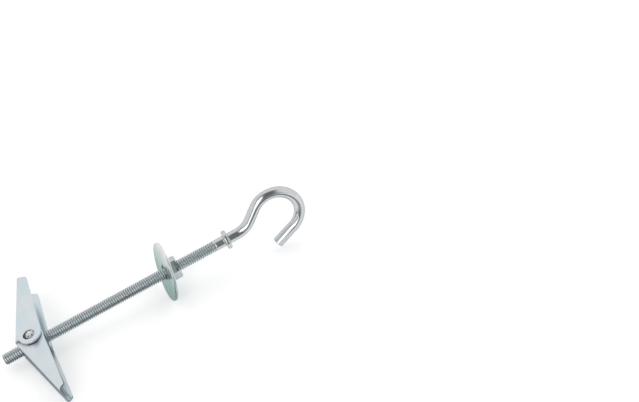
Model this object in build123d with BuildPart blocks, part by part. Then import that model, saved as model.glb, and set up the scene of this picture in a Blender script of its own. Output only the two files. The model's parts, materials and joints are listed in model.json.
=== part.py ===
from build123d import *
from math import acos, asin, atan2, cos, degrees, hypot, radians, sin
import os

# A spring toggle bolt with a round hook, in millimetres.
# Every piece is first made in the bolt's own frame: the rod runs along +X from its free end,
# and the toggle's pin stands along Z. The whole bolt is then laid on the floor as it comes to rest.

# Bolt: rod, collar and hook, bent from one wire
rod_diameter = 3.85
rod_tip_chamfer = 0.4
tip_to_collar = 85.4
collar_diameter = 6.7
collar_thickness = 1.7
collar_chamfer = 0.5
neck_straight = 3.25
neck_radius = 8.2
neck_angle = 43.4
loop_radius = 8.35
loop_drop = 0.35
loop_turn = 201.2
tail_length = 7.9
wire_end_chamfer = 0.3
hook_roll = 81.3

# Hexagon nut
tip_to_nut = 63.6
nut_sides = 6
nut_across_flats = 7.0
nut_thickness = 3.2
nut_bevel = 0.4

# Washer, leaning back on one corner of the nut
washer_diameter = 20.8
washer_hole_diameter = 5.3
washer_thickness = 1.0
washer_edge_chamfer = 0.2
washer_lean = 16.3
washer_turn = 13.0

# Trunnion nut that carries the wings
tip_to_pivot = 12.0
barrel_diameter = 6.4
barrel_below_spring = 0.1
pin_diameter = 3.4
pin_proud = 0.1
pin_end_chamfer = 0.25

# Folded sheet wings, the narrow one nested in the wide one
sheet = 0.8
bend_radius = 1.2
nesting_gap = 0.2
wing_length = 29.5
web_offset = 5.6
wide_tip_depth = 3.9
narrow_tip_depth = 2.5
tip_slant = 0.8
tip_round = 1.0
ear_radius = 4.1
pivot_hole_diameter = 4.2
notch_width = 4.6
notch_round = 0.9
wing_sweep = 15.2

# Torsion spring
spring_wire = 0.45
spring_pitch = 0.5
spring_leg = 11.0
spring_below_rod = 0.3

# Passes that settle the resting pose
floor_passes = 4

# Clearances
thread_clearance = 0.05
seat_clearance = 0.04
stop_clearance = 0.05
pivot_clearance = 0.03
notch_clearance = 0.45
coil_clearance = 0.08
barrel_end_clearance = 0.15

# Bolt: the hook's plane holds the rod's axis, and the loop's centre lies just below that axis
rod_radius = rod_diameter / 2
bore_radius = rod_radius + thread_clearance
bend_start = tip_to_collar + collar_thickness / 2 + neck_straight
neck_rise = neck_radius * (1 - cos(radians(neck_angle)))
loop_rise = loop_radius * cos(radians(neck_angle)) - loop_drop
riser_length = (loop_rise - neck_rise) / sin(radians(neck_angle))
hook_plane = Plane(
    origin=(0, 0, 0),
    x_dir=(1, 0, 0),
    z_dir=(0, -sin(radians(hook_roll)), cos(radians(hook_roll))),
)

# Washer: the rod lies in its hole, and its face leans on the corner of the nut at lean_top
nut_corner_radius = nut_across_flats / 2 / cos(radians(180 / nut_sides))
lean_sine = sin(radians(washer_lean))
lean_cosine = cos(radians(washer_lean))
hole_reach = washer_hole_diameter / 2 * lean_cosine - washer_thickness / 2 * lean_sine
washer_rise = hole_reach - rod_radius - seat_clearance
washer_setback = washer_thickness / 2 + seat_clearance + lean_sine * (nut_corner_radius - washer_rise)
lean_top = Vector(0, -sin(radians(washer_turn)), cos(radians(washer_turn)))
washer_centre = Vector(tip_to_nut - washer_setback / lean_cosine, 0, 0) + lean_top * washer_rise
washer_axis = Vector(lean_cosine, 0, 0) - lean_top * lean_sine

# Wings: each has a frame with its origin on the pin's axis, X along the web and Y towards the hook.
# The barrel has room for the spring below the rod, and the wings fit over its ends.
sweep_sine = sin(radians(wing_sweep))
sweep_cosine = cos(radians(wing_sweep))
pivot = Vector(tip_to_pivot, 0, 0)
coil_level = -rod_radius - spring_below_rod
barrel_length = 2 * (spring_pitch + spring_wire / 2 + barrel_below_spring - coil_level)
narrow_width = barrel_length + 2 * (barrel_end_clearance + sheet)
wide_width = narrow_width + 2 * (nesting_gap + sheet)
web_inside = web_offset - sheet
web_end = (stop_clearance - web_inside * sweep_sine) / sweep_cosine
notch_end = (rod_radius + notch_clearance - web_inside * sweep_sine) / sweep_cosine
hole_play = (pivot_hole_diameter - pin_diameter) / 2 - pivot_clearance
hole_centre = (-hole_play * sweep_sine, -hole_play * sweep_cosine)
wide_frame = Plane(origin=pivot, x_dir=(sweep_sine, sweep_cosine, 0), z_dir=(0, 0, -1))
narrow_frame = Plane(origin=pivot, x_dir=(sweep_sine, -sweep_cosine, 0), z_dir=(0, 0, 1))

# Spring: one coil lies on the barrel below the rod, and a leg bears on each web
coil_radius = barrel_diameter / 2 + coil_clearance + spring_wire / 2
leg_end_offset = web_inside - coil_clearance - spring_wire / 2
leg_tilt = degrees(asin((leg_end_offset - coil_radius) / spring_leg))
leg_lean = wing_sweep - leg_tilt
half_coil_radius = hypot(coil_radius, spring_pitch / 4)


# The free edge of a wing, which bears on the ceiling: its tip corner, the ear's angle, its way and its middle
def bearing_edge(tip_depth):
    corner = (wing_length - tip_slant, tip_depth - web_offset)
    angle = atan2(corner[1], corner[0]) + acos(ear_radius / hypot(*corner))
    way = (cos(angle), sin(angle))
    middle = ((corner[0] + ear_radius * way[0]) / 2, (corner[1] + ear_radius * way[1]) / 2)
    return corner, degrees(angle), way, middle


# One wing: a channel folded from sheet, its web on the -Y side of the given frame
def folded_wing(frame, width, tip_depth):
    tip_corner, ear_start = bearing_edge(tip_depth)[:2]
    ear_end = 180 + degrees(acos(-web_end / ear_radius))
    with BuildPart() as wing:
        with BuildSketch(frame.offset(-width / 2)):
            with BuildLine():
                web_line = Line((web_end, -web_offset), (wing_length, -web_offset))
                tip_line = Line((wing_length, -web_offset), tip_corner)
                ear = CenterArc((0, 0), ear_radius, ear_start, ear_end - ear_start)
                Line(tip_line @ 1, ear @ 0)
                Line(ear @ 1, web_line @ 0)
            make_face()
        extrude(amount=width)
        tip_point = frame.from_local_coords((*tip_corner, 0))
        fillet(wing.edges().filter_by(Axis.Z).sort_by_distance(tip_point)[0], radius=tip_round)
        with BuildSketch(frame.offset(sheet - width / 2)):
            with Locations((0, -web_inside)):
                Rectangle(2 * (wing_length + ear_radius), 2 * web_offset, align=(Align.CENTER, Align.MIN))
        extrude(amount=width - 2 * sheet, mode=Mode.SUBTRACT)
        along_web = Axis(frame.origin, frame.x_dir)
        across_web = Axis(frame.origin, frame.y_dir)
        fillet(wing.edges().filter_by(along_web).sort_by(across_web)[-2:], radius=bend_radius - sheet)
        fillet(wing.edges().filter_by(along_web).sort_by(across_web)[:2], radius=bend_radius)
        web_plane = Plane(
            origin=frame.from_local_coords((notch_end, -web_offset, 0)),
            x_dir=frame.x_dir,
            z_dir=frame.y_dir,
        )
        with BuildSketch(web_plane):
            RectangleRounded(2 * web_offset, notch_width, notch_round, align=(Align.MAX, Align.CENTER))
        extrude(amount=sheet, mode=Mode.SUBTRACT)
        with BuildSketch(frame.offset(-width / 2)):
            with Locations(hole_centre):
                Circle(pivot_hole_diameter / 2)
        extrude(amount=width, mode=Mode.SUBTRACT)
    return wing.part


# Rod, upset collar and hook
with BuildPart() as hook_bolt:
    with BuildSketch(Plane.YZ.offset(tip_to_collar - collar_thickness / 2)):
        Circle(collar_diameter / 2)
    extrude(amount=collar_thickness)
    chamfer(hook_bolt.edges().filter_by(GeomType.CIRCLE), length=collar_chamfer)
    with BuildSketch(Plane.YZ):
        Circle(rod_radius)
    extrude(amount=bend_start)
    chamfer(hook_bolt.edges().sort_by(Axis.X)[0], length=rod_tip_chamfer)
    with BuildLine(hook_plane) as hook_path:
        neck = JernArc((bend_start, 0), (1, 0), neck_radius, neck_angle)
        riser = PolarLine(neck @ 1, riser_length, direction=neck % 1)
        loop = JernArc(riser @ 1, riser % 1, loop_radius, -loop_turn)
        tail = PolarLine(loop @ 1, tail_length, direction=loop % 1)
    with BuildSketch(Plane.YZ.offset(bend_start)):
        Circle(rod_radius)
    sweep(path=hook_path.wire())
    wire_rims = hook_bolt.edges().filter_by(GeomType.CIRCLE).sort_by_distance(tail @ 1)
    chamfer(wire_rims[0], length=wire_end_chamfer)

# Hexagon nut, its bore clear of the thread's crests
with BuildPart() as hex_nut:
    with BuildSketch(Plane.YZ.offset(tip_to_nut)):
        nut_rotation = 180 / nut_sides + washer_turn
        RegularPolygon(nut_across_flats / 2, nut_sides, major_radius=False, rotation=nut_rotation)
        Circle(bore_radius, mode=Mode.SUBTRACT)
    extrude(amount=nut_thickness)
    with BuildSketch(Plane.XZ):
        with BuildLine():
            Polyline(
                (tip_to_nut, 0),
                (tip_to_nut, nut_across_flats / 2),
                (tip_to_nut + nut_bevel, nut_corner_radius),
                (tip_to_nut + nut_thickness - nut_bevel, nut_corner_radius),
                (tip_to_nut + nut_thickness, nut_across_flats / 2),
                (tip_to_nut + nut_thickness, 0),
                close=True,
            )
        make_face()
    revolve(axis=Axis.X, mode=Mode.INTERSECT)

# Washer
with BuildPart() as washer:
    with BuildSketch(Plane(origin=washer_centre, z_dir=washer_axis)):
        Circle(washer_diameter / 2)
        Circle(washer_hole_diameter / 2, mode=Mode.SUBTRACT)
    extrude(amount=washer_thickness / 2, both=True)
    outer_rims = washer.edges().filter_by(GeomType.CIRCLE).sort_by(SortBy.RADIUS)[-2:]
    chamfer(outer_rims, length=washer_edge_chamfer)

# Trunnion nut: a barrel across the rod with a stub pin at each end
with BuildPart() as trunnion:
    with BuildSketch(Plane(origin=pivot).offset(-barrel_length / 2)):
        Circle(barrel_diameter / 2)
    extrude(amount=barrel_length)
    with BuildSketch(Plane(origin=pivot).offset(-wide_width / 2 - pin_proud)):
        Circle(pin_diameter / 2)
    extrude(amount=wide_width + 2 * pin_proud)
    pin_ends = trunnion.edges().filter_by(GeomType.CIRCLE).sort_by(Axis.Z)
    chamfer([pin_ends[0], pin_ends[-1]], length=pin_end_chamfer)
    with BuildSketch(Plane.YZ.offset(tip_to_pivot - barrel_diameter / 2)):
        Circle(bore_radius)
    extrude(amount=barrel_diameter, mode=Mode.SUBTRACT)

# Torsion spring: the upper leg lies on the narrow wing's web, the lower one on the wide wing's
with BuildPart() as torsion_spring:
    with BuildLine(Plane(origin=pivot + Vector(0, 0, coil_level))) as spring_path:
        coil_start = CenterArc((0, 0, 0), coil_radius, 180 + leg_lean, -leg_lean)
        ThreePointArc(
            (-coil_radius, 0, 0),
            (0, half_coil_radius, -spring_pitch / 4),
            (coil_radius, 0, -spring_pitch / 2),
        )
        ThreePointArc(
            (coil_radius, 0, -spring_pitch / 2),
            (0, -half_coil_radius, -3 * spring_pitch / 4),
            (-coil_radius, 0, -spring_pitch),
        )
        coil_end = CenterArc((0, 0, -spring_pitch), coil_radius, 180, -leg_lean)
        upper_leg = Line(coil_start @ 0 - coil_start % 0 * spring_leg, coil_start @ 0)
        Line(coil_end @ 1, coil_end @ 1 + coil_end % 1 * spring_leg)
    with BuildSketch(Plane(origin=upper_leg @ 0, z_dir=upper_leg % 0)):
        Circle(spring_wire / 2)
    sweep(path=spring_path.wire())

pieces = {
    "hook_bolt": hook_bolt.part,
    "hex_nut": hex_nut.part,
    "washer": washer.part,
    "trunnion": trunnion.part,
    "wide_wing": folded_wing(wide_frame, wide_width, wide_tip_depth),
    "narrow_wing": folded_wing(narrow_frame, narrow_width, narrow_tip_depth),
    "torsion_spring": torsion_spring.part,
}

# Resting pose: the washer's rim and both ends of the wide wing's lower fold touch the floor.
# The rim's lowest point and the floor depend on each other, so they are found in a few passes.
rim_middle = washer_centre + washer_axis * (washer_thickness / 2 - washer_edge_chamfer)
fold_start = wide_frame.from_local_coords((web_end, bend_radius - web_offset, wide_width / 2))
fold_end = wide_frame.from_local_coords((wing_length, bend_radius - web_offset, wide_width / 2))
floor_normal = Vector(0, 0, 1)
for _ in range(floor_passes):
    washer_up = floor_normal - washer_axis * washer_axis.dot(floor_normal)
    washer_foot = rim_middle - washer_up.normalized() * (washer_diameter / 2)
    floor_normal = (fold_end - washer_foot).cross(fold_start - washer_foot).normalized()
floor = Plane(origin=washer_foot, x_dir=(1, 0, 0), z_dir=floor_normal)
laid = {name: floor.to_local_coords(piece) for name, piece in pieces.items()}
box = Compound(list(laid.values())).bounding_box()
base = Vector(box.center().X, box.center().Y, box.min.Z)

os.makedirs("parts", exist_ok=True)
for name, piece in laid.items():
    placed = piece.moved(Location(base * -1))
    placed.label = name
    export_step(placed, f"parts/{name}.step")

# Places and directions that the joints and mounts use, after the bolt is laid down
wide_way, wide_middle = bearing_edge(wide_tip_depth)[2:]
narrow_way, narrow_middle = bearing_edge(narrow_tip_depth)[2:]
places = {
    "rod_tip": Vector(0, 0, 0),
    "pivot": pivot,
    "nut_face": Vector(tip_to_nut, 0, 0),
    "washer_centre": washer_centre,
    "loop_centre": loop.arc_center,
    "wide_edge": wide_frame.from_local_coords((*wide_middle, (sheet - wide_width) / 2)),
    "narrow_edge": narrow_frame.from_local_coords((*narrow_middle, (narrow_width - sheet) / 2)),
    "washer_foot": washer_foot,
    "fold_start": fold_start,
    "fold_end": fold_end,
}
directions = {
    "rod_axis": Vector(1, 0, 0),
    "pin_axis": Vector(0, 0, 1),
    "washer_axis": washer_axis,
    "hook_axis": hook_plane.z_dir,
    "wide_edge_way": wide_frame.x_dir * wide_way[0] + wide_frame.y_dir * wide_way[1],
    "narrow_edge_way": narrow_frame.x_dir * narrow_way[0] + narrow_frame.y_dir * narrow_way[1],
}
for name, place in places.items():
    print(name, *(floor.to_local_coords(place) - base))
for name, way in directions.items():
    print(name, *(floor.to_local_coords(way) - floor.to_local_coords(Vector(0, 0, 0))))
print("stop angle", 90 - wing_sweep)
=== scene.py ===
import bpy
import bmesh
import json
import math
import random
from mathutils import Matrix, Vector
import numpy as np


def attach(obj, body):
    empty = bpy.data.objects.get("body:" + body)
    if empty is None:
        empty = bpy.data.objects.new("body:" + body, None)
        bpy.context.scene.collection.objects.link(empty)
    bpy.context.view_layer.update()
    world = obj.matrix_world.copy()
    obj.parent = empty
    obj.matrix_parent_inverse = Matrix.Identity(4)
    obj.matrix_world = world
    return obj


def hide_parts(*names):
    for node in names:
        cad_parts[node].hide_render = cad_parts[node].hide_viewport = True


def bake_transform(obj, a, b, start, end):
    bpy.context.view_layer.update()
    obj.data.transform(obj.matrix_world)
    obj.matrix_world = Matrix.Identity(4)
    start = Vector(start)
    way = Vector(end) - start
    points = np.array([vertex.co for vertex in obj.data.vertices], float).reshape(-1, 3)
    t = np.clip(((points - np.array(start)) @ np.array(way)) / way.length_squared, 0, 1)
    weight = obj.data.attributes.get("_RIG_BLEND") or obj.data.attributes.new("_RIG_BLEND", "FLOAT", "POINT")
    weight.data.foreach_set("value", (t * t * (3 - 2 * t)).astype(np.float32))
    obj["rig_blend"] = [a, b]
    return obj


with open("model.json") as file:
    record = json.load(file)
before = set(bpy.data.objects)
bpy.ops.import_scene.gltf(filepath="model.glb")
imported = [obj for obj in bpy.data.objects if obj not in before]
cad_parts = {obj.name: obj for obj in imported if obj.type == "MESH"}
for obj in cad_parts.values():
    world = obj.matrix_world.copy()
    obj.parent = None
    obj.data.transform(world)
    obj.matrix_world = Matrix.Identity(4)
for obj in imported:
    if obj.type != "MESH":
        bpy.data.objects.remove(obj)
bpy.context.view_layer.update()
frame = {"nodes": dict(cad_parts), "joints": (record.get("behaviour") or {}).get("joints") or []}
mm = 0.001  # every size below is in millimetres unless its note says otherwise
print("frame loaded:", len(frame["nodes"]), "nodes")

# The bolt's own frame: X along the rod from its free end, Z along the toggle's pin
joints = {joint["name"]: joint for joint in frame["joints"]}
rodAxis = Vector(joints["toggle_travel"]["axis"]).normalized()
pinAxis = Vector(joints["narrow_wing_fold"]["axis"]).normalized()
sideAxis = pinAxis.cross(rodAxis).normalized()
pivotPoint = Vector(joints["narrow_wing_fold"]["pos_m"])
tipToPivot = 12.0
rodTip = pivotPoint - rodAxis * tipToPivot * mm
boltFrame = Matrix.Translation(rodTip) @ Matrix((rodAxis, sideAxis, pinAxis)).transposed().to_4x4()
boltFrame = boltFrame @ Matrix.Scale(mm, 4)


def link(obj):
    bpy.context.scene.collection.objects.link(obj)
    return obj


def meshObject(name, mesh, material):
    mesh.materials.clear()
    mesh.materials.append(material)
    return link(bpy.data.objects.new(name, mesh))


def smoothByAngle(mesh, degreesLimit):
    for face in mesh.polygons:
        face.use_smooth = True
    mesh.set_sharp_from_angle(angle=math.radians(degreesLimit))


# Materials

zincLook = {
    "filmTints": ((0.30, (0.80, 0.96, 0.95)), (0.45, (0.88, 0.95, 1.0)),
                  (0.58, (1.0, 0.99, 0.97)), (0.70, (0.98, 0.93, 1.0))),
    "filmDetail": 2.0,
    "streakScale": 900.0,         # per metre, across the streaks
    "streakDetail": 3.0,
    "streakRange": (0.3, 0.7),    # the part of the noise that shows
    "streakStretch": 0.06,        # the pattern's scale along a streak against the scale across it
    "speckScale": 5200.0,         # per metre
    "speckDetail": 2.0,
    "speckShare": 0.5,            # specks against streaks in the relief
    "reliefDepth": 0.02,
    "edgeTint": (0.8, 0.8, 0.8),  # reflections at a grazing angle, for a finish that names none
}


def newSocket(tree, name, kind, direction):
    tree.interface.new_socket(name=name, in_out=direction, socket_type=kind)


def setStops(rampNode, stops):
    elements = rampNode.color_ramp.elements
    while len(elements) < len(stops):
        elements.new(0.5)
    for element, (position, colour) in zip(elements, stops):
        element.position = position
        element.color = (*colour, 1.0)


def multiplied(tree, share, first, second):
    mix = tree.nodes.new("ShaderNodeMix")
    mix.data_type = "RGBA"
    mix.blend_type = "MULTIPLY"
    if isinstance(share, float):
        mix.inputs["Factor"].default_value = share
    else:
        tree.links.new(share, mix.inputs["Factor"])
    tree.links.new(first, mix.inputs["A"])
    if isinstance(second, tuple):
        mix.inputs["B"].default_value = (*second, 1.0)
    else:
        tree.links.new(second, mix.inputs["B"])
    return mix.outputs["Result"]


def buildZincFilm():
    tree = bpy.data.node_groups.new("zincFilm", "ShaderNodeTree")
    newSocket(tree, "Tint Scale", "NodeSocketFloat", "INPUT")
    newSocket(tree, "Streaks Along", "NodeSocketVector", "INPUT")
    newSocket(tree, "Smoothest", "NodeSocketFloat", "INPUT")
    newSocket(tree, "Roughest", "NodeSocketFloat", "INPUT")
    newSocket(tree, "Tint", "NodeSocketColor", "OUTPUT")
    newSocket(tree, "Streaks", "NodeSocketFloat", "OUTPUT")
    newSocket(tree, "Roughness", "NodeSocketFloat", "OUTPUT")
    newSocket(tree, "Height", "NodeSocketFloat", "OUTPUT")
    nodes, links = tree.nodes, tree.links
    groupIn = nodes.new("NodeGroupInput")
    groupOut = nodes.new("NodeGroupOutput")
    place = nodes.new("ShaderNodeTexCoord")

    # broad drifts of blue, pink and green from the passivation film
    film = nodes.new("ShaderNodeTexNoise")
    film.inputs["Detail"].default_value = zincLook["filmDetail"]
    links.new(place.outputs["Object"], film.inputs["Vector"])
    links.new(groupIn.outputs["Tint Scale"], film.inputs["Scale"])
    filmRamp = nodes.new("ShaderNodeValToRGB")
    setStops(filmRamp, zincLook["filmTints"])
    links.new(film.outputs["Fac"], filmRamp.inputs["Fac"])

    # fine drawing streaks, long in one direction, and specks
    stretched = nodes.new("ShaderNodeMapping")
    links.new(place.outputs["Object"], stretched.inputs["Vector"])
    links.new(groupIn.outputs["Streaks Along"], stretched.inputs["Scale"])
    streaks = nodes.new("ShaderNodeTexNoise")
    streaks.inputs["Scale"].default_value = zincLook["streakScale"]
    streaks.inputs["Detail"].default_value = zincLook["streakDetail"]
    links.new(stretched.outputs["Vector"], streaks.inputs["Vector"])
    specks = nodes.new("ShaderNodeTexNoise")
    specks.inputs["Scale"].default_value = zincLook["speckScale"]
    specks.inputs["Detail"].default_value = zincLook["speckDetail"]
    links.new(place.outputs["Object"], specks.inputs["Vector"])
    rough = nodes.new("ShaderNodeMapRange")
    rough.inputs["From Min"].default_value, rough.inputs["From Max"].default_value = zincLook["streakRange"]
    links.new(streaks.outputs["Fac"], rough.inputs["Value"])
    links.new(groupIn.outputs["Smoothest"], rough.inputs["To Min"])
    links.new(groupIn.outputs["Roughest"], rough.inputs["To Max"])
    grain = nodes.new("ShaderNodeMath")
    grain.operation = "MULTIPLY_ADD"
    grain.inputs[1].default_value = zincLook["speckShare"]
    links.new(specks.outputs["Fac"], grain.inputs[0])
    links.new(streaks.outputs["Fac"], grain.inputs[2])
    links.new(filmRamp.outputs["Color"], groupOut.inputs["Tint"])
    links.new(streaks.outputs["Fac"], groupOut.inputs["Streaks"])
    links.new(rough.outputs["Result"], groupOut.inputs["Roughness"])
    links.new(grain.outputs["Value"], groupOut.inputs["Height"])
    return tree


zincFilm = buildZincFilm()


def zincMaterial(name, look):
    material = bpy.data.materials.new(name)
    material.use_nodes = True
    tree = material.node_tree
    nodes, links = tree.nodes, tree.links
    shader = nodes["Principled BSDF"]
    shader.inputs["Metallic"].default_value = 1.0
    shader.inputs["Specular Tint"].default_value = (*look.get("edgeTint", zincLook["edgeTint"]), 1.0)
    film = nodes.new("ShaderNodeGroup")
    film.node_tree = zincFilm
    film.inputs["Tint Scale"].default_value = look["tintScale"]
    film.inputs["Smoothest"].default_value, film.inputs["Roughest"].default_value = look["roughness"]
    film.inputs["Streaks Along"].default_value = look["streaksAlong"]
    place = nodes.new("ShaderNodeTexCoord")

    # the metal's own colour with painted shade: darker towards the floor side and lighter upwards, for how
    # the light falls
    height = nodes.new("ShaderNodeSeparateXYZ")
    links.new(place.outputs["Object"], height.inputs["Vector"])
    level = nodes.new("ShaderNodeMapRange")
    level.inputs["From Max"].default_value = look["paintedShadeReach"] * mm
    links.new(height.outputs["Z"], level.inputs["Value"])
    metalAndShade = nodes.new("ShaderNodeValToRGB")
    setStops(metalAndShade, look["metalAndShade"])
    links.new(level.outputs["Result"], metalAndShade.inputs["Fac"])
    colour = multiplied(tree, look["tintShare"], metalAndShade.outputs["Color"], film.outputs["Tint"])

    # streaks darken the film a little
    shade = nodes.new("ShaderNodeMapRange")
    shade.inputs["From Min"].default_value, shade.inputs["From Max"].default_value = zincLook["streakRange"]
    shade.inputs["To Min"].default_value = 1.0 - look["streakShade"]
    links.new(film.outputs["Streaks"], shade.inputs["Value"])
    colour = multiplied(tree, 1.0, colour, shade.outputs["Result"])
    roughness = film.outputs["Roughness"]

    # painted highlight on the thread's crests, painted shade in its roots and in the punch marks, and the
    # thread's duller plating
    if look.get("usesPaintedShade"):
        paintedShading = nodes.new("ShaderNodeAttribute")
        paintedShading.attribute_name = "shade"
        colour = multiplied(tree, 1.0, colour, paintedShading.outputs["Fac"])
    if "threadRough" in look:
        threaded = nodes.new("ShaderNodeAttribute")
        threaded.attribute_name = "threaded"
        colour = multiplied(tree, threaded.outputs["Fac"], colour, look["threadTint"])
        rougher = nodes.new("ShaderNodeMath")
        rougher.operation = "MULTIPLY_ADD"
        rougher.inputs[1].default_value = look["threadRough"]
        links.new(threaded.outputs["Fac"], rougher.inputs[0])
        links.new(roughness, rougher.inputs[2])
        roughness = rougher.outputs["Value"]

    relief = nodes.new("ShaderNodeBump")
    relief.inputs["Strength"].default_value = look["relief"]
    relief.inputs["Distance"].default_value = zincLook["reliefDepth"] * mm
    links.new(film.outputs["Height"], relief.inputs["Height"])
    links.new(colour, shader.inputs["Base Color"])
    links.new(roughness, shader.inputs["Roughness"])
    links.new(relief.outputs["Normal"], shader.inputs["Normal"])
    return material


stretch = zincLook["streakStretch"]
alongX, alongY, alongZ = (stretch, 1.0, 1.0), (1.0, stretch, 1.0), (1.0, 1.0, stretch)

boltZinc = zincMaterial("boltZinc", {
    "metalAndShade": ((0.0, (0.59, 0.62, 0.63)), (1.0, (0.63, 0.65, 0.655))),
    "paintedShadeReach": 20.0, "tintShare": 0.25, "tintScale": 130.0,
    "roughness": (0.10, 0.20), "streaksAlong": alongX, "streakShade": 0.06, "relief": 0.05,
    "edgeTint": (0.60, 0.61, 0.62), "usesPaintedShade": True,
    "threadRough": 0.20, "threadTint": (0.97, 1.0, 1.0),
})
nutZinc = zincMaterial("nutZinc", {
    "metalAndShade": ((0.0, (0.53, 0.55, 0.54)), (1.0, (0.58, 0.64, 0.66))),
    "paintedShadeReach": 14.0, "tintShare": 0.40, "tintScale": 160.0,
    "roughness": (0.16, 0.28), "streaksAlong": alongX, "streakShade": 0.10, "relief": 0.08,
})
# painted shade: the washer's own teal colour runs dark at the floor side and pale at the top, for how the
# light falls on it
washerZinc = zincMaterial("washerZinc", {
    "metalAndShade": ((0.05, (0.41, 0.52, 0.50)), (0.45, (0.50, 0.60, 0.58)),
              (0.70, (0.73, 0.78, 0.76)), (0.95, (0.94, 0.94, 0.90))),
    "paintedShadeReach": 20.5, "tintShare": 0.28, "tintScale": 110.0,
    "roughness": (0.27, 0.36), "streaksAlong": alongZ, "streakShade": 0.18, "relief": 0.06,
    "edgeTint": (0.62, 0.72, 0.70),
})
wingZinc = zincMaterial("wingZinc", {
    "metalAndShade": ((0.0, (0.66, 0.75, 0.77)), (0.6, (0.68, 0.74, 0.77)), (1.0, (0.71, 0.76, 0.79))),
    "paintedShadeReach": 10.5, "tintShare": 0.45, "tintScale": 110.0,
    "roughness": (0.28, 0.35), "streaksAlong": alongY, "streakShade": 0.05, "relief": 0.03,
})
trunnionZinc = zincMaterial("trunnionZinc", {
    "metalAndShade": ((0.0, (0.50, 0.52, 0.52)), (0.8, (0.62, 0.64, 0.63)), (1.0, (0.76, 0.78, 0.77))),
    "paintedShadeReach": 11.0, "tintShare": 0.35, "tintScale": 170.0,
    "roughness": (0.28, 0.38), "streaksAlong": alongX, "streakShade": 0.20, "relief": 0.25,
    "usesPaintedShade": True,
})
springSteel = zincMaterial("springSteel", {
    "metalAndShade": ((0.0, (0.40, 0.41, 0.42)), (1.0, (0.44, 0.45, 0.46))),
    "paintedShadeReach": 8.0, "tintShare": 0.15, "tintScale": 200.0,
    "roughness": (0.20, 0.32), "streaksAlong": alongX, "streakShade": 0.10, "relief": 0.08,
})
print("materials made")


# Threaded rod and hook, one piece

bolt = {
    "rodRadius": 1.912,
    "threadCrest": 1.965,
    "threadRoot": 1.58,
    "threadPitch": 0.79375,
    "crestFlat": 0.40,     # share of the pitch, and so is the next
    "rootFlat": 0.12,
    "crestShade": 1.10,    # painted highlight on the crests, times the metal's colour; the next is the painted shade in the roots, the same way
    "rootShade": 0.99,
    "threadEnd": 81.4,
    "runOut": 1.2,
    "tipChamfer": 0.4,
    "collarMiddle": 85.4,
    "collarRadius": 3.35,
    "collarThickness": 1.7,
    "collarRound": 0.6,
    "collarFoot": 0.25,
    "bendStart": 89.5,
    "neckRadius": 8.2,
    "neckAngle": 43.4,     # degrees
    "loopRadius": 8.35,
    "loopDrop": 0.35,      # the loop's centre below the rod's axis
    "loopTurn": 201.2,     # degrees
    "tailLength": 7.9,
    "endRound": 0.3,
    "supportEdge": 0.1,    # rings this near a change of form keep the straight wire's shading straight
    "hookRoll": 81.3,      # degrees
    "around": 40,          # points round the wire
    "profileSteps": 10,    # steps across one pitch of thread
    "bendStep": 3.0,       # degrees between rings in the bends
    "roundSteps": 5,       # rings in a rounded edge
    "turnsJoin": 1e-4,     # points of the thread this near each other become one
    "endSlack": 1e-6,      # what lies this near an end plane counts as on it
    "shankJoin": 1e-3,     # as turnsJoin, where the thread meets the shank
    "smoothAngle": 40.0,   # degrees
}


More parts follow.
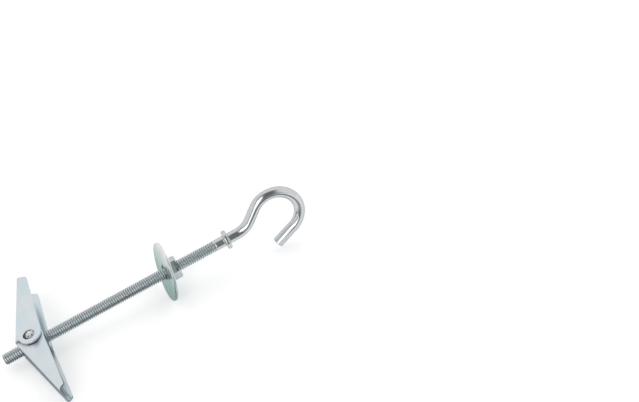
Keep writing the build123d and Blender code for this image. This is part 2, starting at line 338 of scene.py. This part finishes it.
def buildThreadTree():
    tree = bpy.data.node_groups.new("threadTurns", "GeometryNodeTree")
    tree.is_modifier = True
    newSocket(tree, "Geometry", "NodeSocketGeometry", "INPUT")
    for name in ("Length", "Pitch", "Crest Radius", "Root Radius", "Shank Radius", "Crest Flat",
                 "Root Flat", "Crest Shade", "Root Shade", "Tip Chamfer", "Run Out", "Turns"):
        newSocket(tree, name, "NodeSocketFloat", "INPUT")
    for name in ("Rows Along", "Rows Across"):
        newSocket(tree, name, "NodeSocketInt", "INPUT")
    newSocket(tree, "Finish", "NodeSocketMaterial", "INPUT")
    newSocket(tree, "Geometry", "NodeSocketGeometry", "OUTPUT")
    nodes, links = tree.nodes, tree.links
    groupIn = nodes.new("NodeGroupInput")
    groupOut = nodes.new("NodeGroupOutput")

    def sums(operation, first, second=None, third=None, clamp=False):
        node = nodes.new("ShaderNodeMath")
        node.operation = operation
        node.use_clamp = clamp
        for socket, value in zip(node.inputs, (first, second, third)):
            if value is None:
                continue
            if isinstance(value, (int, float)):
                socket.default_value = value
            else:
                links.new(value, socket)
        return node.outputs["Value"]

    def size(name):
        return groupIn.outputs[name]

    # a strip one pitch wide, wound round the rod
    strip = nodes.new("GeometryNodeMeshGrid")
    strip.inputs["Size X"].default_value = 1.0
    strip.inputs["Size Y"].default_value = 1.0
    links.new(size("Rows Along"), strip.inputs["Vertices X"])
    links.new(size("Rows Across"), strip.inputs["Vertices Y"])
    position = nodes.new("GeometryNodeInputPosition")
    split = nodes.new("ShaderNodeSeparateXYZ")
    links.new(position.outputs["Position"], split.inputs["Vector"])
    alongShare = sums("ADD", split.outputs["X"], 0.5)
    acrossShare = sums("ADD", split.outputs["Y"], 0.5)
    turns = sums("MULTIPLY", alongShare, size("Turns"))
    angle = sums("MULTIPLY", turns, 2 * math.pi)
    pitches = sums("ADD", sums("ADD", turns, acrossShare), -1.0)
    axialFree = sums("MULTIPLY", pitches, size("Pitch"))
    axial = sums("MINIMUM", sums("MAXIMUM", axialFree, 0.0), size("Length"))

    # ridge with flat crest and root
    fromMiddle = sums("ABSOLUTE", sums("MULTIPLY_ADD", acrossShare, 2.0, -1.0))
    fromRoot = sums("SUBTRACT", sums("SUBTRACT", 1.0, fromMiddle), size("Root Flat"))
    flank = sums("SUBTRACT", sums("SUBTRACT", 1.0, size("Crest Flat")), size("Root Flat"))
    rise = sums("DIVIDE", fromRoot, flank, clamp=True)
    depth = sums("SUBTRACT", size("Crest Radius"), size("Root Radius"))
    ridge = sums("MULTIPLY_ADD", rise, depth, size("Root Radius"))
    left = sums("SUBTRACT", size("Length"), axial)
    fade = sums("SUBTRACT", 1.0, sums("DIVIDE", left, size("Run Out"), clamp=True))
    filled = sums("MULTIPLY_ADD", sums("SUBTRACT", size("Shank Radius"), ridge), fade, ridge)
    chamfered = sums("ADD", sums("SUBTRACT", size("Shank Radius"), size("Tip Chamfer")), axial)
    radius = sums("MINIMUM", filled, chamfered)
    join = nodes.new("ShaderNodeCombineXYZ")
    links.new(axial, join.inputs["X"])
    links.new(sums("MULTIPLY", radius, sums("COSINE", angle)), join.inputs["Y"])
    links.new(sums("MULTIPLY", radius, sums("SINE", angle)), join.inputs["Z"])
    wind = nodes.new("GeometryNodeSetPosition")
    links.new(join.outputs["Vector"], wind.inputs["Position"])

    # painted shade in the roots and painted highlight on the crests, and thread marks, worked out on the
    # flat strip and kept through the winding
    mark, markToo = (nodes.new("GeometryNodeStoreNamedAttribute") for _ in range(2))
    for node, name in ((mark, "shade"), (markToo, "threaded")):
        node.data_type = "FLOAT"
        node.domain = "POINT"
        node.inputs["Name"].default_value = name
    capture = nodes.new("GeometryNodeCaptureAttribute")
    capture.domain = "POINT"
    capture.capture_items.new("FLOAT", "Shade")
    capture.capture_items.new("FLOAT", "Threaded")
    shadeDepth = sums("SUBTRACT", size("Crest Shade"), size("Root Shade"))
    threadShade = sums("MULTIPLY_ADD", rise, shadeDepth, size("Root Shade"))
    shade = sums("MULTIPLY_ADD", sums("SUBTRACT", 1.0, threadShade), fade, threadShade)
    links.new(strip.outputs["Mesh"], capture.inputs["Geometry"])
    links.new(shade, capture.inputs["Shade"])
    links.new(sums("SUBTRACT", 1.0, fade), capture.inputs["Threaded"])
    links.new(capture.outputs["Geometry"], wind.inputs["Geometry"])
    links.new(wind.outputs["Geometry"], mark.inputs["Geometry"])
    links.new(capture.outputs["Shade"], mark.inputs["Value"])
    links.new(mark.outputs["Geometry"], markToo.inputs["Geometry"])
    links.new(capture.outputs["Threaded"], markToo.inputs["Value"])

    # what was pressed flat onto the end planes goes, and the turns are joined
    outline = nodes.new("GeometryNodeInputPosition")
    outlineSplit = nodes.new("ShaderNodeSeparateXYZ")
    links.new(outline.outputs["Position"], outlineSplit.inputs["Vector"])
    tooLow = sums("LESS_THAN", outlineSplit.outputs["X"], bolt["endSlack"])
    tooHigh = sums("GREATER_THAN", outlineSplit.outputs["X"], sums("ADD", size("Length"), -bolt["endSlack"]))
    drop = nodes.new("GeometryNodeDeleteGeometry")
    drop.domain = "FACE"
    links.new(markToo.outputs["Geometry"], drop.inputs["Geometry"])
    links.new(sums("MAXIMUM", tooLow, tooHigh), drop.inputs["Selection"])
    merge = nodes.new("GeometryNodeMergeByDistance")
    merge.inputs["Distance"].default_value = bolt["turnsJoin"]
    links.new(drop.outputs["Geometry"], merge.inputs["Geometry"])
    realize = nodes.new("GeometryNodeRealizeInstances")
    links.new(merge.outputs["Geometry"], realize.inputs["Geometry"])
    finish = nodes.new("GeometryNodeSetMaterial")
    links.new(realize.outputs["Geometry"], finish.inputs["Geometry"])
    links.new(size("Finish"), finish.inputs["Material"])
    links.new(finish.outputs["Geometry"], groupOut.inputs["Geometry"])
    return tree


def nodesMesh(tree, values):
    holder = link(bpy.data.objects.new("nodesHolder", bpy.data.meshes.new("nodesHolder")))
    modifier = holder.modifiers.new("nodes", "NODES")
    modifier.node_group = tree
    for item in tree.interface.items_tree:
        if item.in_out == "INPUT" and item.name in values:
            modifier[item.identifier] = values[item.name]
    evaluated = holder.evaluated_get(bpy.context.evaluated_depsgraph_get())
    mesh = bpy.data.meshes.new_from_object(evaluated)
    holder.modifiers.remove(modifier)
    bpy.data.objects.remove(holder)
    return mesh


def hookRings():
    # each ring is (centre, direction, radius) in the bolt's frame: the straight shank, then the bends
    half = bolt["collarThickness"] / 2
    low, high = bolt["collarMiddle"] - half, bolt["collarMiddle"] + half
    rod, foot, curve = bolt["rodRadius"], bolt["collarFoot"], bolt["collarRound"]
    edge = bolt["supportEdge"]
    quarter = [math.pi / 2 * i / bolt["roundSteps"] for i in range(bolt["roundSteps"] + 1)]
    top = bolt["collarRadius"] - curve
    profile = [(bolt["threadEnd"], rod), (bolt["threadEnd"] + edge, rod)]
    profile += [(low - foot - edge, rod), (low - foot, rod)]
    profile += [(low - foot + foot * math.sin(a), rod + foot - foot * math.cos(a)) for a in quarter[1:]]
    profile += [(low + curve - curve * math.cos(a), top + curve * math.sin(a)) for a in quarter]
    mirrored = [(low + high - x, r) for x, r in reversed(profile[2:])]
    profile += mirrored + [(bolt["bendStart"] - edge, rod), (bolt["bendStart"], rod)]
    roll = math.radians(bolt["hookRoll"])
    upward = Vector((0.0, math.cos(roll), math.sin(roll)))
    forward = Vector((1.0, 0.0, 0.0))
    rings = [(Vector((x, 0.0, 0.0)), forward, r) for x, r in profile]

    def heading(angle):
        return forward * math.cos(angle) + upward * math.sin(angle)

    here, angle = Vector((bolt["bendStart"], 0.0, 0.0)), 0.0

    def bend(here, angle, radius, turn):
        count = max(2, round(abs(turn) / bolt["bendStep"]))
        side = 1 if turn > 0 else -1
        centre = here + heading(angle + side * math.pi / 2) * radius
        for i in range(1, count + 1):
            now = angle + math.radians(turn) * i / count
            rings.append((centre - heading(now + side * math.pi / 2) * radius, heading(now), rod))
        return rings[-1][0], angle + math.radians(turn)

    here, angle = bend(here, angle, bolt["neckRadius"], bolt["neckAngle"])
    slope = math.radians(bolt["neckAngle"])
    loopRise = bolt["loopRadius"] * math.cos(slope) - bolt["loopDrop"]
    riser = (loopRise - bolt["neckRadius"] * (1 - math.cos(slope))) / math.sin(slope)
    here = here + heading(angle) * riser
    rings.append((here, heading(angle), rod))
    here, angle = bend(here, angle, bolt["loopRadius"], -bolt["loopTurn"])
    straight = bolt["tailLength"] - bolt["endRound"]
    for a in quarter:
        along = straight + bolt["endRound"] * math.sin(a)
        radius = rod - bolt["endRound"] * (1 - math.cos(a))
        rings.append((here + heading(angle) * along, heading(angle), radius))
    return rings


def ringTube(mesh, rings, around, firstSide, capStart, capEnd):
    rows = []
    side = firstSide.normalized()
    for centre, direction, radius in rings:
        side = (side - direction * side.dot(direction)).normalized()
        across = direction.cross(side)
        rows.append([mesh.verts.new(centre + (side * math.cos(a) + across * math.sin(a)) * radius)
                     for a in (2 * math.pi * i / around for i in range(around))])
    for lower, upper in zip(rows, rows[1:]):
        for i in range(around):
            j = (i + 1) % around
            mesh.faces.new((lower[i], lower[j], upper[j], upper[i]))
    if capStart:
        mesh.faces.new(list(reversed(rows[0])))
    if capEnd:
        mesh.faces.new(rows[-1])
    return rows


def buildHookBolt():
    turns = math.ceil(bolt["threadEnd"] / bolt["threadPitch"]) + 1
    threadMesh = nodesMesh(buildThreadTree(), {
        "Length": bolt["threadEnd"],
        "Pitch": bolt["threadPitch"],
        "Crest Radius": bolt["threadCrest"],
        "Shank Radius": bolt["rodRadius"],
        "Root Radius": bolt["threadRoot"],
        "Crest Flat": bolt["crestFlat"],
        "Root Flat": bolt["rootFlat"],
        "Crest Shade": bolt["crestShade"],
        "Root Shade": bolt["rootShade"],
        "Tip Chamfer": bolt["tipChamfer"],
        "Run Out": bolt["runOut"],
        "Turns": float(turns),
        "Rows Along": turns * bolt["around"] + 1,
        "Rows Across": bolt["profileSteps"] + 1,
        "Finish": boltZinc,
    })
    shape = bmesh.new()
    shape.from_mesh(threadMesh)
    bpy.data.meshes.remove(threadMesh)
    # the hook's wire takes no painted shade or painted highlight
    shade = shape.verts.layers.float["shade"]
    for row in ringTube(shape, hookRings(), bolt["around"], Vector((0.0, 1.0, 0.0)), False, True):
        for vert in row:
            vert[shade] = 1.0
    bmesh.ops.remove_doubles(shape, verts=shape.verts[:], dist=bolt["shankJoin"])
    openEdges = [edge for edge in shape.edges if edge.is_boundary]
    bmesh.ops.holes_fill(shape, edges=openEdges, sides=0)
    bmesh.ops.recalc_face_normals(shape, faces=shape.faces[:])
    leftOpen = sum(1 for edge in shape.edges if edge.is_boundary)
    mesh = bpy.data.meshes.new("hookBolt")
    shape.to_mesh(mesh)
    shape.free()
    mesh.transform(boltFrame)
    smoothByAngle(mesh, bolt["smoothAngle"])
    piece = meshObject("hookBolt", mesh, boltZinc)
    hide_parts("hook_bolt")
    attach(piece, "bolt")
    print("hookBolt:", len(mesh.polygons), "faces,", leftOpen, "open edges")


# Pieces whose CAD form is kept, with their sheared and turned edges broken

edgeBreaks = {
    "wide_wing": {"piece": "wideWing", "width": 0.12, "material": wingZinc,
                  "slot": "wing_zinc", "body": "wide_wing"},
    "narrow_wing": {"piece": "narrowWing", "width": 0.12, "material": wingZinc,
                    "slot": "wing_zinc", "body": "narrow_wing"},
    "washer": {"piece": "flatWasher", "width": 0.08, "material": washerZinc,
               "slot": "washer_zinc", "body": "washer"},
    "hex_nut": {"piece": "hexNut", "width": 0.10, "material": nutZinc,
                "slot": "nut_zinc", "body": "nut"},
    "trunnion": {"piece": "trunnionNut", "width": 0.10, "material": trunnionZinc,
                 "slot": "trunnion_zinc", "body": "toggle", "peened": True},
}

breaking = {
    "joinWithin": 0.002,
    "flatWithin": 0.5,     # degrees: faces this level with each other become one
    "sharpFrom": 35.0,     # degrees
    "segments": 2,
    "roundness": 0.5,
    "smoothAngle": 30.0,   # degrees
}

# The pins' ends, hammered and punched; each ring is (radius, height from the pivot)
pinEnds = {
    "plainTo": 4.85,       # height that the plain pin keeps
    "cutSlack": 0.05,      # room either side of that height
    "upper": ((1.66, 4.96), (1.58, 5.06), (1.53, 5.16), (1.50, 5.24), (1.45, 5.31), (1.36, 5.36),
              (1.22, 5.41), (1.00, 5.44), (0.70, 5.46), (0.35, 5.47)),
    "lower": ((1.70, 4.95), (1.66, 5.02), (1.55, 5.06), (1.40, 5.08), (1.15, 5.09), (0.80, 5.095),
              (0.40, 5.10)),
    "stakes": 6,           # punch marks round the rim
    "stakeDrift": 0.25,    # how far a mark strays, as a share of their spacing
    "stakeDepth": (0.28, 0.42),
    "stakeWidth": (10.0, 16.0),   # degrees
    "stakeReach": (0.70, 1.50),   # the marks fade in between these radii
    "stakePull": 0.6,      # how far a mark draws the rim in, times its depth
    "stakeShade": 0.22,    # painted shade in a mark, against the plated face
    "hammered": 0.05,      # unevenness of the face
    "waves": 3,            # sine waves that make it up
    "firstWave": 2,        # swells in a turn of the first one
    "waveTwist": 2.0,      # radians a millimetre outwards
    "leastRise": 0.12,     # what a mark leaves above the plain pin
    "splits": 3,           # parts that each side of the CAD's round is cut into
    "seed": 11,
}


def peenPin(shape, along, rings, dice):
    across = along.cross(rodAxis).normalized()

    def level(vert):
        return (vert.co - pivotPoint).dot(along) / mm

    def angleOf(vert):
        return math.atan2((vert.co - pivotPoint).dot(across), (vert.co - pivotPoint).dot(rodAxis))

    plainTo = pinEnds["plainTo"]
    cut = [vert for vert in shape.verts if level(vert) > plainTo + pinEnds["cutSlack"]]
    bmesh.ops.delete(shape, geom=cut, context="VERTS")
    for edge in [edge for edge in shape.edges if edge.is_boundary]:
        start = edge.verts[0]
        for parts in range(pinEnds["splits"], 1, -1):
            edge, start = bmesh.utils.edge_split(edge, start, 1.0 / parts)
            edge = next(other for other in start.link_edges if other.is_boundary and other != edge)
    rim = sorted((vert for vert in shape.verts if vert.is_boundary), key=angleOf)
    angles = [angleOf(vert) for vert in rim]
    count, drift, waves = pinEnds["stakes"], pinEnds["stakeDrift"], pinEnds["waves"]
    turns = [2 * math.pi * (i + dice.uniform(-drift, drift)) / count for i in range(count)]
    stakes = []
    for turn in turns:
        depth = dice.uniform(*pinEnds["stakeDepth"])
        width = math.radians(dice.uniform(*pinEnds["stakeWidth"]))
        stakes.append((turn, depth, width))
    phases = [dice.uniform(0.0, 2 * math.pi) for _ in range(waves)]
    shade = shape.verts.layers.float["shade"]
    reachFrom, reachTo = pinEnds["stakeReach"]
    rows = [rim]
    for radius, height in rings:
        share = min(max((radius - reachFrom) / (reachTo - reachFrom), 0.0), 1.0)
        row = []
        for angle in angles:
            mark = sum(depth * math.exp(-((math.remainder(angle - turn, 2 * math.pi) / width) ** 2))
                       for turn, depth, width in stakes) * share
            uneven = sum(math.sin(wave * angle + phase + pinEnds["waveTwist"] * radius)
                         for wave, phase in enumerate(phases, pinEnds["firstWave"]))
            dip = pinEnds["hammered"] * (uneven - waves) / waves
            lift = min(height, max(plainTo + pinEnds["leastRise"], height - mark + dip))
            reach = radius - pinEnds["stakePull"] * mark
            out = rodAxis * math.cos(angle) + across * math.sin(angle)
            vert = shape.verts.new(pivotPoint + (along * lift + out * reach) * mm)
            # painted shade in the punch marks, darkest where a mark is deepest
            paintedShading = min(mark / pinEnds["stakeDepth"][0], 1.0)
            vert[shade] = 1.0 - (1.0 - pinEnds["stakeShade"]) * paintedShading
            row.append(vert)
        rows.append(row)
    middle = shape.verts.new(pivotPoint + along * rings[-1][1] * mm)
    middle[shade] = 1.0
    points = len(rim)
    for i in range(points):
        j = (i + 1) % points
        for lower, upper in zip(rows, rows[1:]):
            shape.faces.new((lower[i], lower[j], upper[j], upper[i]))
        shape.faces.new((rows[-1][i], rows[-1][j], middle))


def buildBroken(node, look):
    shape = bmesh.new()
    shape.from_mesh(frame["nodes"][node].data)
    bmesh.ops.remove_doubles(shape, verts=shape.verts[:], dist=breaking["joinWithin"] * mm)
    bmesh.ops.dissolve_limit(shape, angle_limit=math.radians(breaking["flatWithin"]),
                             verts=shape.verts[:], edges=shape.edges[:])
    sharpFrom = math.radians(breaking["sharpFrom"])
    sharp = [edge for edge in shape.edges if edge.is_manifold and edge.calc_face_angle(0.0) > sharpFrom]
    if look.get("peened"):
        plainTo = (pinEnds["plainTo"] - pinEnds["cutSlack"]) * mm
        sharp = [edge for edge in sharp
                 if all(abs((vert.co - pivotPoint).dot(pinAxis)) < plainTo for vert in edge.verts)]
    bmesh.ops.bevel(shape, geom=sharp, offset=look["width"] * mm, offset_type="OFFSET",
                    segments=breaking["segments"], profile=breaking["roundness"],
                    affect="EDGES", clamp_overlap=True)
    if look.get("peened"):
        # the trunnion's painted shade starts at none everywhere
        shade = shape.verts.layers.float.new("shade")
        for vert in shape.verts:
            vert[shade] = 1.0
        dice = random.Random(pinEnds["seed"])
        peenPin(shape, pinAxis, pinEnds["upper"], dice)
        peenPin(shape, -pinAxis, pinEnds["lower"], dice)
    leftOpen = sum(1 for edge in shape.edges if not edge.is_manifold)
    mesh = bpy.data.meshes.new(look["piece"])
    shape.to_mesh(mesh)
    shape.free()
    smoothByAngle(mesh, breaking["smoothAngle"])
    piece = meshObject(look["piece"], mesh, look["material"])
    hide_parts(node)
    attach(piece, look["body"])
    print(look["piece"] + ":", len(mesh.polygons), "faces,", leftOpen, "open edges")


# Torsion spring: the coil stays on the trunnion, and each leg bends with its wing

spring = {
    "wire": 0.45,
    "coilRadius": 3.505,
    "pitch": 0.5,
    "level": -2.225,      # the coil's upper end along the pin
    "leg": 11.0,
    "legLean": 10.04,     # degrees
    "bendShare": 0.5,     # how much of the leg takes up the bend
    "around": 12,         # points round the wire
    "coilSteps": 72,
    "legSteps": 24,
    "smoothAngle": 50.0,  # degrees
}


def buildSpring():
    lean = math.radians(spring["legLean"])
    turn = 2 * math.pi + 2 * lean
    middle = Vector((tipToPivot, 0.0, spring["level"]))
    radius = spring["coilRadius"]

    def onCoil(share):
        a = math.pi + lean - turn * share
        level = -spring["pitch"] * share
        return middle + Vector((radius * math.cos(a), radius * math.sin(a), level))

    def wayOnCoil(share):
        a = math.pi + lean - turn * share
        return Vector((math.sin(a), -math.cos(a), -spring["pitch"] / turn / radius)).normalized()

    def wirePiece(name, rings):
        shape = bmesh.new()
        ringTube(shape, rings, spring["around"], Vector((0.0, 0.0, 1.0)), True, True)
        mesh = bpy.data.meshes.new(name)
        shape.to_mesh(mesh)
        shape.free()
        mesh.transform(boltFrame)
        smoothByAngle(mesh, spring["smoothAngle"])
        return meshObject(name, mesh, springSteel)

    wire = spring["wire"] / 2
    shares = [i / spring["coilSteps"] for i in range(spring["coilSteps"] + 1)]
    coil = wirePiece("springCoil", [(onCoil(share), wayOnCoil(share), wire) for share in shares])
    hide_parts("torsion_spring")
    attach(coil, "toggle")
    legs = ((0.0, -1.0, "narrow_wing", "springLegNarrow"), (1.0, 1.0, "wide_wing", "springLegWide"))
    for share, sign, body, name in legs:
        start, way = onCoil(share), wayOnCoil(share) * sign
        way.z = 0.0
        way.normalize()
        steps = spring["legSteps"]
        rings = [(start + way * spring["leg"] * i / steps, way, wire) for i in range(steps + 1)]
        leg = wirePiece(name, rings)
        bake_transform(leg, "toggle", body, start=boltFrame @ start,
                 end=boltFrame @ (start + way * spring["leg"] * spring["bendShare"]))
    print("spring: coil and", len(legs), "legs")


buildHookBolt()
for node, look in edgeBreaks.items():
    buildBroken(node, look)
buildSpring()


# Floor, lights and camera

# In metres, degrees and watts. A card's left, right and near pairs are where it starts and where it is whole
studio = {
    "floorSize": 6.0,
    "floorShade": 0.9,
    "floorGlow": 0.34,         # what the floor adds to its own light where it is seen
    "sky": 0.98,
    "dark": 0.18,              # the unlit strip of room behind the camera
    "darkAzimuth": -105.3,
    "darkHalfWidth": (22.0, 46.0),   # dark inside the first, sky outside the second
    "darkReach": (-0.30, 0.30),      # it fades in between these level shares of a direction towards it
    "nearBox": {"azimuth": -116.5, "elevation": 26.0, "lean": 12.0, "distance": 1.0,
                "size": (0.42, 0.96), "power": 2.4},
    "rodBox": {"azimuth": -90.0, "elevation": 62.0, "lean": 0.0, "distance": 0.20,
               "size": (0.075, 0.16), "power": 0.024, "centre": (-0.042, 0.0, 0.008)},
    "hookCard": {"shade": 0.22, "near": (-0.020, -0.042), "far": -0.6, "left": (0.006, 0.016),
                 "right": (0.080, 0.058), "lift": 0.0002},
    "rodCard": {"shade": 0.18, "near": (-0.004, -0.011), "far": -0.130, "left": (-0.050, -0.030),
                "right": (0.010, -0.006), "lift": 0.0001},
    "wingCard": {"shade": 0.56, "near": (0.010, 0.004), "far": -0.042, "left": (-0.080, -0.070),
                 "right": (-0.040, -0.045), "lift": 0.00015},
}


def buildFloor():
    mesh = bpy.data.meshes.new("floor")
    half = studio["floorSize"] / 2
    corners = [(-half, -half, 0), (half, -half, 0), (half, half, 0), (-half, half, 0)]
    mesh.from_pydata(corners, [], [(0, 1, 2, 3)])
    material = bpy.data.materials.new("floorWhite")
    material.use_nodes = True
    nodes, links = material.node_tree.nodes, material.node_tree.links
    nodes.remove(nodes["Principled BSDF"])
    matte = nodes.new("ShaderNodeBsdfDiffuse")
    matte.inputs["Color"].default_value = (*[studio["floorShade"]] * 3, 1.0)
    glow = nodes.new("ShaderNodeEmission")
    rays = nodes.new("ShaderNodeLightPath")
    seen = nodes.new("ShaderNodeMath")
    seen.operation = "MAXIMUM"
    links.new(rays.outputs["Is Camera Ray"], seen.inputs[0])
    links.new(rays.outputs["Is Glossy Ray"], seen.inputs[1])
    seenToo = nodes.new("ShaderNodeMath")
    seenToo.operation = "MAXIMUM"
    links.new(seen.outputs["Value"], seenToo.inputs[0])
    links.new(rays.outputs["Is Transmission Ray"], seenToo.inputs[1])
    share = nodes.new("ShaderNodeMath")
    share.operation = "MULTIPLY"
    share.inputs[1].default_value = studio["floorGlow"]
    links.new(seenToo.outputs["Value"], share.inputs[0])
    links.new(share.outputs["Value"], glow.inputs["Strength"])
    mix = nodes.new("ShaderNodeAddShader")
    links.new(matte.outputs["BSDF"], mix.inputs[0])
    links.new(glow.outputs["Emission"], mix.inputs[1])
    links.new(mix.outputs["Shader"], nodes["Material Output"].inputs["Surface"])
    floor = meshObject("floor", mesh, material)


def softBox(name, look):
    data = bpy.data.lights.new(name, "AREA")
    data.shape = "RECTANGLE"
    data.size, data.size_y = look["size"]
    data.energy = look["power"]
    lamp = link(bpy.data.objects.new(name, data))
    level, lift = math.radians(look["azimuth"]), math.radians(look["elevation"])
    place = Vector((math.cos(lift) * math.cos(level), math.cos(lift) * math.sin(level), math.sin(lift)))
    place *= look["distance"]
    aimed = (-place).to_track_quat("-Z", "Y").to_matrix().to_4x4()
    centre = Vector(look.get("centre", (0.0, 0.0, 0.0)))
    turned = aimed @ Matrix.Rotation(math.radians(look["lean"]), 4, "Z")
    lamp.matrix_world = Matrix.Translation(centre + place) @ turned


def buildCard(name, look):
    # a dark card lying on the floor, for the metal's reflections only
    left, right = look["left"][0], look["right"][0]
    near, far, lift = look["near"][0], look["far"], look["lift"]
    mesh = bpy.data.meshes.new(name)
    corners = [(left, far, lift), (right, far, lift), (right, near, lift), (left, near, lift)]
    mesh.from_pydata(corners, [], [(0, 1, 2, 3)])
    material = bpy.data.materials.new(name)
    material.use_nodes = True
    nodes, links = material.node_tree.nodes, material.node_tree.links
    nodes.remove(nodes["Principled BSDF"])
    place = nodes.new("ShaderNodeTexCoord")
    split = nodes.new("ShaderNodeSeparateXYZ")
    links.new(place.outputs["Object"], split.inputs["Vector"])
    cover = None
    for axis, side in (("X", "left"), ("X", "right"), ("Y", "near")):
        fade = nodes.new("ShaderNodeMapRange")
        fade.interpolation_type = "SMOOTHSTEP"
        fade.inputs["From Min"].default_value, fade.inputs["From Max"].default_value = look[side]
        links.new(split.outputs[axis], fade.inputs["Value"])
        if cover:
            both = nodes.new("ShaderNodeMath")
            both.operation = "MULTIPLY"
            links.new(cover, both.inputs[0])
            links.new(fade.outputs["Result"], both.inputs[1])
            cover = both.outputs["Value"]
        else:
            cover = fade.outputs["Result"]
    clear = nodes.new("ShaderNodeBsdfTransparent")
    matte = nodes.new("ShaderNodeBsdfDiffuse")
    matte.inputs["Color"].default_value = (*[look["shade"]] * 3, 1.0)
    mix = nodes.new("ShaderNodeMixShader")
    links.new(cover, mix.inputs["Fac"])
    links.new(clear.outputs["BSDF"], mix.inputs[1])
    links.new(matte.outputs["BSDF"], mix.inputs[2])
    links.new(mix.outputs["Shader"], nodes["Material Output"].inputs["Surface"])
    card = meshObject(name, mesh, material)
    card.visible_camera = False
    card.visible_diffuse = False
    card.visible_transmission = False
    card.visible_shadow = False


def buildWorld():
    world = bpy.data.worlds.new("studio")
    world.use_nodes = True
    nodes, links = world.node_tree.nodes, world.node_tree.links
    way = nodes.new("ShaderNodeTexCoord")
    level = math.radians(studio["darkAzimuth"])

    def share(direction, absolute, start, end, startValue, endValue):
        facing = nodes.new("ShaderNodeVectorMath")
        facing.operation = "DOT_PRODUCT"
        facing.inputs[1].default_value = direction
        links.new(way.outputs["Generated"], facing.inputs[0])
        value = facing.outputs["Value"]
        if absolute:
            plain = nodes.new("ShaderNodeMath")
            plain.operation = "ABSOLUTE"
            links.new(value, plain.inputs[0])
            value = plain.outputs["Value"]
        fade = nodes.new("ShaderNodeMapRange")
        fade.interpolation_type = "SMOOTHSTEP"
        limits = {"From Min": start, "From Max": end, "To Min": startValue, "To Max": endValue}
        for name, number in limits.items():
            fade.inputs[name].default_value = number
        links.new(value, fade.inputs["Value"])
        return fade.outputs["Result"]

    inner, outer = (math.sin(math.radians(angle)) for angle in studio["darkHalfWidth"])
    across = share((-math.sin(level), math.cos(level), 0.0), True, inner, outer, 1.0, 0.0)
    ahead = share((math.cos(level), math.sin(level), 0.0), False, *studio["darkReach"], 0.0, 1.0)
    strip = nodes.new("ShaderNodeMath")
    strip.operation = "MULTIPLY"
    links.new(across, strip.inputs[0])
    links.new(ahead, strip.inputs[1])
    light = nodes.new("ShaderNodeMath")
    light.operation = "MULTIPLY_ADD"
    light.inputs[1].default_value = studio["dark"] - studio["sky"]
    light.inputs[2].default_value = studio["sky"]
    links.new(strip.outputs["Value"], light.inputs[0])
    background = nodes["Background"]
    background.inputs["Color"].default_value = (1.0, 1.0, 1.0, 1.0)
    links.new(light.outputs["Value"], background.inputs["Strength"])
    bpy.context.scene.world = world


camera = {
    "place": (82.722, -446.594, 388.690),   # in the bolt's frame
    "aim": (119.396, -5.613, 0.170),
    "roll": -25.366,                        # degrees
    "lens": 97.5,
    "sensor": 36.0,
    "clip": (0.01, 20.0),                   # metres
}


def buildCamera():
    data = bpy.data.cameras.new("camera")
    data.sensor_fit = "HORIZONTAL"
    data.sensor_width = camera["sensor"]
    data.lens = camera["lens"]
    data.clip_start, data.clip_end = camera["clip"]
    place = boltFrame @ Vector(camera["place"])
    forward = (boltFrame @ Vector(camera["aim"]) - place).normalized()
    level = forward.cross(pinAxis).normalized()
    top = level.cross(forward)
    roll = math.radians(camera["roll"])
    right = level * math.cos(roll) + top * math.sin(roll)
    upward = right.cross(forward)
    turn = Matrix((right, upward, -forward)).transposed().to_4x4()
    obj = link(bpy.data.objects.new("camera", data))
    obj.matrix_world = Matrix.Translation(place) @ turn
    bpy.context.scene.camera = obj


buildFloor()
for name in ("hookCard", "rodCard", "wingCard"):
    buildCard(name, studio[name])
for name in ("nearBox", "rodBox"):
    softBox(name, studio[name])
buildWorld()
buildCamera()
bpy.context.scene.view_settings.view_transform = "Standard"
print("studio set")
